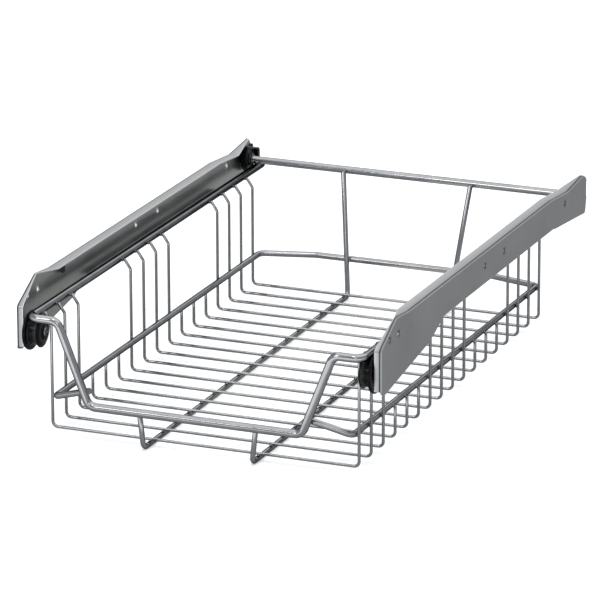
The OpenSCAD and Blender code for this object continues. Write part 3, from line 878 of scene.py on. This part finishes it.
# %% Both faces of the web and the walls of the holes
def web_faces():
    """The grid and the hole rings on both faces, and a short wall between the last rings."""
    points, faces, painted_light, last_rings = [], [], [], []
    flat = web.reshape(-1, 2)
    count, around = 0, len(border_j)
    for depth, inside in ((0.0, False), (sheet_t, True)):
        base = count
        points.append(np.c_[np.full(len(flat), rail_x - depth), flat])
        painted_light.append(np.zeros(len(flat)))
        faces += ((web_cells if inside else web_cells[:, ::-1]) + base).tolist()
        count += len(flat)
        for k in range(len(hole_ys)):
            rings, pressed, border_numbers = hole_rings(k)
            x = rail_x - depth - pressed
            points.append(np.concatenate([x[..., None], rings], axis=2).reshape(-1, 3))
            # the dimple's rings get a painted highlight inside the rail and a painted shade outside
            painted_light.append(np.repeat(np.linspace(0.1, 1, len(rings)) * (1.0 if inside else -0.9), around))
            ring_numbers = count + np.arange(x.size).reshape(x.shape)
            numbers = np.concatenate([(border_numbers + base)[None], ring_numbers])
            following = np.roll(numbers, -1, axis=1)
            quads = np.stack([numbers[:-1], following[:-1], following[1:], numbers[1:]], axis=-1).reshape(-1, 4)
            faces += (quads[:, ::-1] if inside else quads).tolist()
            last_rings.append(numbers[-1])
            count += x.size
    for outer, inner in zip(last_rings[:len(hole_ys)], last_rings[len(hole_ys):]):
        faces += np.stack([outer, np.roll(outer, -1), np.roll(inner, -1), inner], axis=-1).tolist()
    return np.concatenate(points), faces, np.concatenate(painted_light)


parts = [web_faces(), stop_tab(), border]
offsets = np.cumsum([0] + [len(part[0]) for part in parts])
rail_points, rail_painted_light = (np.concatenate([part[n] for part in parts]) for n in (0, 2))
rail_faces = [[i + int(base) for i in face] for (_, faces, _), base in zip(parts, offsets) for face in faces]
print("rail:", len(rail_points), "points,", len(rail_faces), "faces")

# %% Write both rails
def close_seams(piece, gap=0.00002):
    """Merges points that fall on each other, and marks the sharp edges anew."""
    work = bmesh.new()
    work.from_mesh(piece.data)
    bmesh.ops.remove_doubles(work, verts=work.verts, dist=gap)
    work.to_mesh(piece.data)
    work.free()
    piece.data.set_sharp_from_angle(angle=math.radians(35))


for side, sign in SIDES:
    faces = rail_faces if sign > 0 else turned_round(rail_faces)
    rail = write_piece(f"{side}_rail_pressed", rail_points * (sign, 1, 1), faces, rail_painted_light)
    close_seams(rail)
    finish_piece(rail, "rails", [f"{side}_rail"], "rail_steel")

# %% [markdown]
# ## The stops at the back of the channels
#
# A small black block sits in the back of each channel, and the roller comes to rest on it. It is a
# moulding with rounded edges: a rounded rectangle whose size grows from the front face over a quarter
# circle, stays the same, and shrinks again at the back.

# %% The rear stops
block_h, block_w, block_len, block_r, block_edge = 16.0, 10.8, 6.0, 2.5, 0.7


def rounded_block(centre, width, height, length, corner, edge):
    """ring(s) = rounded rectangle drawn in by edge (1 - sin), moved along Y by edge (1 - cos) at both ends."""
    a = np.linspace(0, np.pi / 2, 5)
    draw_in, along = edge * (1 - np.sin(a)), edge * (1 - np.cos(a))
    draw_in = np.concatenate([draw_in, draw_in[::-1]])
    along = np.concatenate([along, length - along[::-1]])
    q = np.radians(np.arange(4)[:, None] * 90 + np.linspace(0, 90, 7)[None, :])
    way = np.stack([np.cos(q), np.sin(q)], axis=-1).reshape(-1, 2)
    signs = np.repeat([(1, 1), (-1, 1), (-1, -1), (1, -1)], 7, axis=0)
    hub = signs * (width / 2 - corner, height / 2 - corner)
    ring = hub[None] + way[None] * (corner - draw_in)[:, None, None]
    y = np.broadcast_to(along[:, None], ring.shape[:2])
    points = np.stack([centre[0] + ring[..., 0], centre[1] + y, centre[2] + ring[..., 1]], axis=-1)
    faces = turned_round(capped_cells(len(along), len(way)))
    # the edge value paints a faint grey highlight on the rounded edges
    return points.reshape(-1, 3), faces, np.repeat(np.clip(1 - draw_in / edge, 0, 1) * 0.3, len(way))


for side, sign in SIDES:
    block_centre = (sign * (web_x - block_w / 2), rear_y - sheet_t - block_len, rod_z)
    block = rounded_block(block_centre, block_w, block_h, block_len, block_r, block_edge)
    stop = write_piece(f"{side}_rear_stop_moulded", *block, sharp=50)
    finish_piece(stop, "rails", [f"{side}_rear_stop"], "stop_plastic")

# %% [markdown]
# ## Floor, light and camera
#
# The camera sees a plain pale floor. A metal part would mirror that floor as an even white, so for
# mirrors it is a grey table with a glowing white card in front, and one slanted bright patch on it lights
# the left rail's front plate.
#
# Soft lights stand above, in front and at the front left, with a small one high in front and a wide one
# behind. They draw the thin white lines on the wires, while the right-hand side stays calmer, so that the
# outside of the right rail is a plain grey.
#
# The camera stands far away with a long lens, as in the photograph. Its place and direction were found by
# fitting the wires' crossings to the picture.

# %% The paint of the floor
# matt and pale with a faint mottle, and for mirrors the grey table, the white card and the patch
net, shader = new_finish("floor_paint", 0.0, 0.2)
tone = net.effect(cloudy_plating, Broad=3.0, Fine=60.0, Share=0.2)[0]
seen = net.add("LightPath", {})["Is Camera Ray"]
pale = net.mix(tone, (0.92, 0.92, 0.92), (0.94, 0.94, 0.94))
place = net.add("SeparateXYZ", {0: net.add("TexCoord", {})["Object"]})
card = net.span(place["Y"], 1.0, 0.0, -0.5, -0.36)
slanted = net.math("SUBTRACT", place["Y"], net.times(place["X"], 4.5))
back_end = net.span(slanted, 1.0, 0.0, 0.33, 0.39)
left_end = net.span(place["X"], 0.0, 1.0, -0.057, -0.047)
front_end = net.span(slanted, 0.0, 1.0, 0.0, 0.1)
patch = net.times(net.times(back_end, left_end), front_end)
table = net.mix(patch, (0.5, 0.505, 0.5), (1.0, 1.0, 0.86))
mirrored = net.mix(card, table, (1.0, 1.0, 1.0))
card_glow = net.times(net.times(card, 0.6), net.math("SUBTRACT", 1.0, seen))
net.fill(shader["Base Color"], net.mix(seen, mirrored, pale))
net.fill(shader["Roughness"], 0.9)
net.fill(shader["Emission Color"], (1.0, 1.0, 1.0))
net.fill(shader["Emission Strength"], net.math("ADD", net.times(seen, 0.25), card_glow))

# %% The floor
floor_half = 12000.0
floor_corners = np.array([(-1, -1, 0), (1, -1, 0), (1, 1, 0), (-1, 1, 0)]) * floor_half
floor = write_piece("floor", floor_corners, [[0, 1, 2, 3]])
floor.data.materials.append(finishes["floor_paint"])

# %% The lights
def set_up(name, data, right, up, back, place):
    """A lamp or a camera at a place. Its own X runs right and its Y up, and it looks away from back."""
    thing = bpy.data.objects.new(name, data)
    bpy.context.scene.collection.objects.link(thing)
    turn = np.stack([right, up, back], axis=1)
    thing.matrix_world = Matrix([[*row, p] for row, p in zip(turn, place)] + [[0, 0, 0, 1]])
    return thing


# square lights: place, height aimed at over the middle, size in metres, power in watts
for name, place, aim, size, power in (
        ("overhead_light", (0.0, 0.2, 2.8), 0.0, 4.5, 62),
        ("front_left_light", (-1.6, -2.6, 1.7), 0.1, 0.8, 13),
        ("front_light", (1.1, -3.9, 2.1), 0.1, 1.4, 11),
        ("strip_light", (-0.2, -2.0, 3.2), 0.1, 0.8, 11),
        ("back_light", (-1.0, 3.6, 1.3), 0.1, 3.4, 38)):
    light = bpy.data.lights.new(name, "AREA")
    light.shape, light.size, light.energy = "SQUARE", size, power
    way = unit(np.array(place) - (0, 0, aim))
    side = unit(np.cross((0, 0, 1), way) if abs(way[2]) < 0.99 else np.array((1.0, 0, 0)))
    set_up(name, light, side, np.cross(way, side), way, place)

world = bpy.context.scene.world = bpy.data.worlds.new("pale_room")
world.use_nodes = True
sky = world.node_tree.nodes["Background"].inputs
sky["Color"].default_value, sky["Strength"].default_value = (0.92, 0.95, 1.0, 1.0), 0.6
bpy.context.scene.view_settings.view_transform = "Standard"

# %% The camera
picture_px = 600


def photo_camera(place, azimuth, elevation, roll, focal_px):
    """forward = (-sin a cos e, cos a cos e, -sin e), right = forward x Z, up = right x forward, then rolled."""
    a, e, r = map(math.radians, (azimuth, elevation, roll))
    forward = np.array([-math.sin(a) * math.cos(e), math.cos(a) * math.cos(e), -math.sin(e)])
    right = unit(np.cross(forward, (0, 0, 1)))
    up = np.cross(right, forward)
    right, up = math.cos(r) * right + math.sin(r) * up, math.cos(r) * up - math.sin(r) * right
    lens = bpy.data.cameras.new("photo_camera")
    lens.sensor_width = 36.0
    lens.lens = focal_px * lens.sensor_width / picture_px
    lens.clip_end = 60
    bpy.context.scene.camera = set_up("photo_camera", lens, right, up, -forward, place)
    print("lens:", round(lens.lens, 1), "mm")


photo_camera((1.8354, -4.4647, 1.5984), 22.458, 17.539, -0.159, 5257.5)

# %% [markdown]
# ## Bring the scene up to date
#
# The view layer is updated once more at the end. The visual model has to stay in the
# drawing's box.

# %% Update
bpy.context.view_layer.update()
